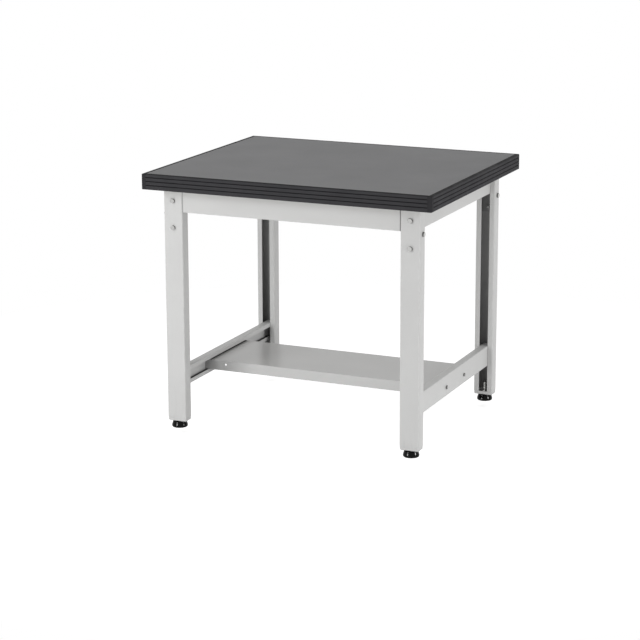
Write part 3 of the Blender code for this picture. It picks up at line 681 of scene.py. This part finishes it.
def corner_caps(finish):
    """The plain caps: the moulding's outline without ribs, swept along one arm, round the corner and along
    the other arm. A station's point is its pivot plus (corner radius - depth) times its way out."""
    shoulder = min(EDGE_ROUND, CAP_ROUND)
    angle = np.linspace(0, math.pi / 2, FOLD_STEPS + 1)
    bend = np.stack([np.cos(angle), np.sin(angle)], axis=1)
    way = np.concatenate([bend[:1], bend, bend[-1:]])
    pivot = np.full((len(way), 2), -CAP_ROUND)
    rear = np.full((len(way), 2), -EDGE_BODY + SEAT_GAP)
    for stations in (pivot, rear):
        stations[0, 1] = -CAP_ARM
        stations[-1, 0] = -CAP_ARM
    for corner, sx, sy in CORNERS:
        node = "corner_cap_" + corner
        low, high = box(node)
        thick = high[2] - low[2]
        foot = quarter(shoulder) - [shoulder, 0]
        face = np.concatenate([foot, foot[::-1] * [1, -1] + [0, thick]])
        skin = pivot[:, None] + way[:, None] * (CAP_ROUND + face[:, :1])
        plan = np.concatenate([rear[:, None], skin, rear[:, None]], axis=1)
        level = np.concatenate([[0], face[:, 1], [thick]])
        grid = np.concatenate([plan, np.broadcast_to(level[:, None], plan.shape[:2] + (1,))], axis=2)
        outer = [high[0] if sx > 0 else low[0], high[1] if sy > 0 else low[1], low[2]]
        # Painted shade on the cap: a share on its lower shoulder, rising to full on its upper lip
        lip = np.concatenate([[0], np.full(len(foot), CAP_SHADE), np.linspace(CAP_SHADE, 1, len(foot)), [1]])
        mesh = lattice(node, grid * [sx, sy, 1] + outer, marks={"groove": lip}, merge=True)
        piece("plain_cap_" + corner, mesh, finish, "edge_moulding", "frame", node)


def legs(finish):
    """The four lipped channels, each slot facing the middle of the table."""
    for corner, _, sy in CORNERS:
        node = "leg_" + corner
        low, high = box(node)
        middle = (low + high) / 2 * [1, 1, 0]
        half_w, half_d = (high - low)[:2] / 2
        half_slot = LEG_SLOT / 2
        path = [(-half_slot, half_d), (-half_w, half_d), (-half_w, -half_d), (half_w, -half_d),
                (half_w, half_d), (half_slot, half_d)]
        section, marks = folded(path, LEG_WALL, LEG_BEND)
        grid = drawn(section, middle, (-sy, 0, 0), (0, -sy, 0), (0, 0, low[2]), (0, 0, high[2]))
        piece("channel_" + node, lattice(node, grid, marks=marks), finish, "grey_paint", "frame", node)


def side_channels(finish):
    """Side aprons as plain channels, and lower rails with a deep lip above and a narrow hem below."""
    for side, sx in SIDES:
        for kind, wall, bend in (("apron", APRON_WALL, APRON_BEND), ("rail", RAIL_WALL, RAIL_BEND)):
            node = kind + "_" + side
            low, high = box(node)
            width, _, height = high - low
            path = [(-width, -height), (0, -height), (0, 0), (-width, 0)]
            if kind == "rail":
                path = [(-HEM_WIDTH, HEM_LIP - height), (-HEM_WIDTH, -height), (0, -height), (0, 0),
                        (-width, 0), (-width, -RAIL_LIP)]
            section, marks = folded(path, wall, bend)
            # The rails' inner skin takes painted shade in its pockets; the aprons take none
            marks["pocket_shade"] = marks.pop("inside") * (kind == "rail")
            origin = (high[0] if sx > 0 else low[0], 0, high[2])
            grid = drawn(section, origin, (sx, 0, 0), (0, 0, 1), (0, low[1], 0), (0, high[1], 0))
            piece("folded_" + node, lattice(node, grid, marks=marks), finish, "grey_paint", "frame", node)


def shoes(finish):
    """The shoes: loops of a rounded rectangle drawn in by an inset at each level, from the hole's rim below,
    out round the lower edge, over the wall and down inside to the hole's rim above. A loop's corner point
    is the corner centre plus (corner radius - inset) times its way out."""
    angle = np.linspace(0, math.pi / 2, FOLD_STEPS + 1)
    turn = (angle + np.arange(4)[:, None] * math.pi / 2).ravel()
    out = np.stack([np.cos(turn), np.sin(turn)], axis=1)
    sign = np.repeat([[1, 1], [-1, 1], [-1, -1], [1, -1]], FOLD_STEPS + 1, axis=0)
    fillet = quarter(SHOE_ROUND)
    for corner, _, _ in CORNERS:
        node = "leg_shoe_" + corner
        low, high = box(node)
        half = (high - low)[:2] / 2
        tall = high[2] - low[2]
        inset = np.concatenate([SHOE_ROUND - fillet[:, 0], [0, SHOE_WALL, SHOE_WALL]])
        level = np.concatenate([[0], fillet[:, 1], [tall, tall, SHOE_FLOOR, SHOE_FLOOR]])
        loops = sign * (half - SHOE_CORNER) + (SHOE_CORNER - inset)[:, None, None] * out
        rim = (STEM_RADIUS + HOLE_CLEAR) * loops[:1] / np.linalg.norm(loops[:1], axis=2, keepdims=True)
        plan = np.concatenate([rim, loops, rim])
        grid = np.concatenate([plan, np.broadcast_to(level[:, None, None], plan.shape[:2] + (1,))], axis=2)
        mesh = lattice(node, grid + [*(low + high)[:2] / 2, low[2]], ring_path=True)
        piece("round_" + node, mesh, finish, "grey_paint", "frame", node)


def bolt_lattice(length, flats, head, radius, pitch, threaded):
    """Hexagon bolt along +Z with the underside of its head at the origin: threaded end, shank, washer face
    and head. In the head the radius is the least of the hexagon's side and the chamfer cone
    crown + (top - z) root 3. Also gives the mark of painted shade on the head's flanks and of the oily
    thread."""
    worm = np.linspace(-length, -length + threaded, WORM_ROWS)
    tip = radius * TIP_SHARE + (worm + length)
    screw = np.minimum(thread(worm, radius, pitch), tip[:, None])
    washer = flats / 2 * WASHER_SHARE
    plain = np.array([[radius, -length + threaded], [radius, -SEAT_GAP],
                      [washer, -SEAT_GAP], [washer, WASHER_LIFT]])
    bevel = np.linspace(BEVEL_START, 1, HEAD_ROWS) * head
    rise = np.concatenate([[WASHER_LIFT, HEAD_LIFT], bevel])
    crown = flats / 2 * CROWN_SHARE
    cone = np.minimum(crown + (head - rise) * math.sqrt(3), hexagon(0.0, flats))
    cone[0] = washer + HEAD_STEP
    flank = np.minimum(hexagon(RING, flats), cone[:, None])
    dish = np.array([[crown * DISH_SHARES[0], head], [crown * DISH_SHARES[1], head - DISH_DEPTH]])
    across = np.concatenate([screw, np.repeat(plain[:, :1], RING_POINTS, 1), flank,
                             np.repeat(dish[:, :1], RING_POINTS, 1)])
    height = np.concatenate([worm, plain[:, 1], rise, dish[:, 1]])
    # Painted shade on the head's flanks, full low down and fading out near the top
    flank_shade = np.clip((1 - rise / head) / FLANK_SHADE_FADE, 0, 1)
    side = np.concatenate([np.ones(len(worm)), np.zeros(len(plain)), flank_shade, np.zeros(len(dish))])
    return rings(across, height), {"flank": side[:, None]}


def bolts(bright, dull):
    """All bolts: two in each leg's outer face and one in its outer side, bright, and four through the rails'
    webs, smaller and dull."""
    heads = []
    for corner, sx, sy in CORNERS:
        for place, way in (("upper_", (0, sy, 0)), ("lower_", (0, sy, 0)), ("side_", (sx, 0, 0))):
            heads.append(("leg_bolt_" + place + corner, way, LEG_BOLT, bright))
    for side, sx in SIDES:
        heads += [("shelf_bolt_" + side + end, (sx, 0, 0), SHELF_BOLT, dull) for end in ("_front", "_rear")]
    for count, (node, way, size, finish) in enumerate(heads):
        low, high = box(node)
        axis = np.array(way)
        length = np.abs((high - low) @ axis) - size["head"]
        top = np.where(axis > 0, high, np.where(axis < 0, low, (low + high) / 2))
        grid, marks = bolt_lattice(length, **size)
        grid = turn_to(grid, way, top - axis * size["head"], spin=BOLT_SPIN * count)
        piece("hex_" + node, lattice(node, grid, marks=marks), finish, "zinc_plate", "frame", node)


def feet(plastic, zinc):
    """The screw-out feet: a round pad, a threaded stem and its nut at each corner. Gives the pieces made."""
    made = []
    for corner, _, _ in CORNERS:
        low, high = box("foot_pad_" + corner)
        axis = (low + high) / 2 * [1, 1, 0]
        made.append(foot_pad(corner, axis, plastic))
        made.append(foot_stem(corner, axis, zinc))
        made.append(foot_nut(corner, axis, zinc))
    return made


def foot_pad(corner, axis, plastic):
    """A round pad, its half section turned about the foot's axis."""
    node = "foot_pad_" + corner
    low, high = box(node)
    profile = pad_profile(high[2] - low[2])
    mesh = lattice(node, rings(profile[:, :1], profile[:, 1]) + axis + [0, 0, low[2]])
    return piece("round_" + node, mesh, plastic, "foot_plastic", "pad_" + corner, node)


def pad_profile(tall):
    """Half section (radius, height) of a pad from its flat base to the floor of its socket: a quarter ellipse
    out to the belly, a slightly bowed side in to the shoulder, a round lip and the socket."""
    angle = np.linspace(0, math.pi / 2, PAD_BASE_ROWS)
    base = np.stack([PAD_BASE_RADIUS + (PAD_RADIUS - PAD_BASE_RADIUS) * np.sin(angle),
                     PAD_BELLY * (1 - np.cos(angle))], axis=1)
    rise = np.linspace(0, 1, PAD_SIDE_ROWS)[1:]
    side = np.stack([PAD_RADIUS - (PAD_RADIUS - PAD_TOP_RADIUS) * rise ** PAD_BOW,
                     PAD_BELLY + (tall - PAD_LIP - PAD_BELLY) * rise], axis=1)
    lip = quarter(PAD_LIP)[1:]
    lip = np.stack([PAD_TOP_RADIUS - lip[:, 1], tall - PAD_LIP + lip[:, 0]], axis=1)
    socket = STEM_RADIUS + HOLE_CLEAR
    return np.concatenate([base, side, lip, [[socket, tall], [socket, PAD_FLOOR]]])


def foot_stem(corner, axis, zinc):
    """A threaded stem whose radius is the least of the thread and the chamfers at its two ends."""
    node = "foot_stem_" + corner
    low, high = box(node)
    height = np.linspace(0, high[2] - low[2], STEM_ROWS)
    tip = STEM_RADIUS - STEM_CHAMFER + np.minimum(height[-1] - height, height + STEM_CHAMFER)
    radius = np.minimum(thread(height, STEM_RADIUS, STEM_PITCH), tip[:, None])
    mesh = lattice(node, rings(radius, height) + axis + [0, 0, low[2]])
    return piece("threaded_" + node, mesh, zinc, "zinc_plate", "stem_" + corner, node)


def foot_nut(corner, axis, zinc):
    """A hexagon nut: rings up its flanks, whose radius is the least of the hexagon's side and the chamfer
    cones at both ends, and back down its bore."""
    node = "foot_nut_" + corner
    low, high = box(node)
    tall = high[2] - low[2]
    bevel = np.linspace(0, NUT_BEVEL, NUT_ROWS)
    rise = np.concatenate([bevel, np.linspace(1 - NUT_BEVEL, 1, NUT_ROWS)]) * tall
    chamfer = FOOT_NUT_FLATS / 2 * NUT_CROWN_SHARE + np.minimum(rise, tall - rise) * math.sqrt(3)
    flank = np.minimum(hexagon(RING, FOOT_NUT_FLATS), chamfer[:, None])
    bore = np.full((2, RING_POINTS), STEM_RADIUS + HOLE_CLEAR)
    grid = rings(np.concatenate([flank, bore]), np.concatenate([rise, [tall, 0]]))
    mesh = lattice(node, grid + axis + [0, 0, low[2]], ring_path=True)
    return piece("hex_" + node, mesh, zinc, "zinc_plate", "frame", node)


def dress(finish, *nodes):
    """Give solids that keep their own shape a finish."""
    for node in nodes:
        coats = NODES[node].data.materials
        coats.clear()
        coats.append(finish)


def seen_rays(tree):
    """1 for rays of the eye, of reflections and through glass, the highest of three flags, and else 0."""
    rays = tree.nodes.new("ShaderNodeLightPath").outputs
    seen = rays["Is Camera Ray"]
    for kind in ("Is Glossy Ray", "Is Transmission Ray"):
        either = tree.nodes.new("ShaderNodeMath")
        either.operation = "MAXIMUM"
        tree.links.new(seen, either.inputs[0])
        tree.links.new(rays[kind], either.inputs[1])
        seen = either.outputs[0]
    return seen


def white_floor():
    """The floor: matt white that takes the object's shadow, lifted to plain white for the eye, for
    reflections and for glass, and plain white alone far from the object. It lies as low as the pads reach
    when they are screwed out, so that they stay in sight in every pose."""
    made = Finish("white_floor", 0.9)
    matt = made.add("ShaderNodeBsdfDiffuse", {"Color": grey(FLOOR_LEVEL)})
    seen = seen_rays(made.tree)
    lift = made.sums("MULTIPLY", seen, FLOOR_LIFT)
    glow = made.add("ShaderNodeEmission", {"Color": grey(1.0), "Strength": lift})
    near = made.add("ShaderNodeAddShader", {0: matt.outputs[0], 1: glow.outputs[0]})
    white = made.add("ShaderNodeEmission", {"Color": grey(1.0), "Strength": 1.0})
    far = made.add("ShaderNodeVectorMath", {0: made.spot}, operation="LENGTH").outputs["Value"]
    share = made.sums("MULTIPLY", seen, made.ramp(far, *FLOOR_FADE))
    mixed = made.add("ShaderNodeMixShader", {0: share, 1: near.outputs[0], 2: white.outputs[0]})
    made.tree.links.new(mixed.outputs[0], made.tree.nodes["Material Output"].inputs["Surface"])
    joints = frame["record"]["behaviour"]["joints"]
    travel = max(joint["range_m"][1] for joint in joints if joint["type"] == "slide")
    corners = np.array([[-1, -1, 0], [1, -1, 0], [1, 1, 0], [-1, 1, 0]]) * FLOOR_REACH
    mesh = bpy.data.meshes.new("floor")
    mesh.from_pydata((corners + [0, 0, CAD_LOW[2] - travel]).tolist(), [], [(0, 1, 2, 3)])
    mesh.materials.append(made.material)
    floor = bpy.data.objects.new("floor", mesh)
    bpy.context.scene.collection.objects.link(floor)


def studio_world():
    """Even light from all round, plain white to the eye, to reflections and to glass."""
    world = bpy.data.worlds.new("studio")
    bpy.context.scene.world = world
    world.use_nodes = True
    tree = world.node_tree
    ambient = tree.nodes["Background"]
    plain = tree.nodes.new("ShaderNodeBackground")
    for shade, strength in ((ambient, WORLD_LEVEL), (plain, 1.0)):
        shade.inputs["Color"].default_value = grey(1.0)
        shade.inputs["Strength"].default_value = strength
    mixed = tree.nodes.new("ShaderNodeMixShader")
    tree.links.new(seen_rays(tree), mixed.inputs[0])
    tree.links.new(ambient.outputs[0], mixed.inputs[1])
    tree.links.new(plain.outputs[0], mixed.inputs[2])
    tree.links.new(mixed.outputs[0], tree.nodes["World Output"].inputs["Surface"])


def area_lamp(name, bearing, lift, distance, width, tall, watts):
    """A rectangular soft light aimed at the middle of the table."""
    lamp = bpy.data.lights.new(name, "AREA")
    lamp.shape = "RECTANGLE"
    lamp.size = width
    lamp.size_y = tall
    lamp.energy = watts
    turn, rise = math.radians(bearing), math.radians(lift)
    way = Vector((math.sin(turn) * math.cos(rise), -math.cos(turn) * math.cos(rise), math.sin(rise)))
    made = bpy.data.objects.new(name, lamp)
    bpy.context.scene.collection.objects.link(made)
    made.location = Vector(LAMP_AIM) + way * distance
    made.rotation_euler = (-way).to_track_quat("-Z", "Y").to_euler()
    return made


def studio_lamps(glossy):
    """Soft panels that leave no glare on paint, and small lamps that give only the glossy pieces glints."""
    for panel in PANELS:
        area_lamp(*panel).visible_glossy = False
    lit = bpy.data.collections.new("glossy_feet")
    for foot in glossy:
        lit.objects.link(foot)
    for lamp in FOOT_LAMPS:
        area_lamp(*lamp).light_linking.receiver_collection = lit


def photograph_camera():
    """The camera at the photograph's place, turned by its yaw, pitch and roll."""
    data = bpy.data.cameras.new("photograph")
    data.lens = CAMERA_LENS
    data.sensor_width = CAMERA_SENSOR
    data.shift_x, data.shift_y = CAMERA_SHIFT
    data.clip_end = CAMERA_SIGHT
    made = bpy.data.objects.new("photograph", data)
    bpy.context.scene.collection.objects.link(made)
    turn = (Matrix.Rotation(math.radians(CAMERA_YAW), 4, "Z")
            @ Matrix.Rotation(math.radians(90 - CAMERA_PITCH), 4, "X")
            @ Matrix.Rotation(math.radians(CAMERA_ROLL), 4, "Z"))
    made.matrix_world = Matrix.Translation(CAMERA_PLACE) @ turn
    bpy.context.scene.camera = made


def main():
    """Set the stage, make every piece and give the remaining solids their finishes."""
    bpy.context.scene.view_settings.view_transform = "Standard"
    photograph_camera()
    white_floor()
    studio_world()
    paint = painted_steel("light_grey_baked_paint")
    vinyl = edge_vinyl()
    mouldings(vinyl)
    corner_caps(vinyl)
    legs(paint)
    side_channels(paint)
    shoes(paint)
    bolts(zinc_plate(*BOLT_ZINC), zinc_plate(*SHELF_BOLT_ZINC))
    studio_lamps(feet(foot_plastic(), zinc_plate(*FOOT_ZINC)))
    dress(wearing_sheet(), "top_sheet")
    dress(particle_board(), "top_core")
    dress(backing_sheet(), "top_backer")
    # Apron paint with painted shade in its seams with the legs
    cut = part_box("apron_front")[1][0]
    dress(painted_steel("light_grey_apron_paint", cut=cut), "apron_front", "apron_rear")
    # Shelf paint with painted shade at its ends and under the rails' lips
    lap = (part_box("rail_right")[0][0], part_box("shelf")[1][2])
    dress(painted_steel("light_grey_shelf_paint", lap, polish=SHELF_POLISH), "shelf")
    # The brackets inside the legs in painted shade
    dress(bracket_shade(), *("leg_bracket_" + corner for corner, _, _ in CORNERS))


main()
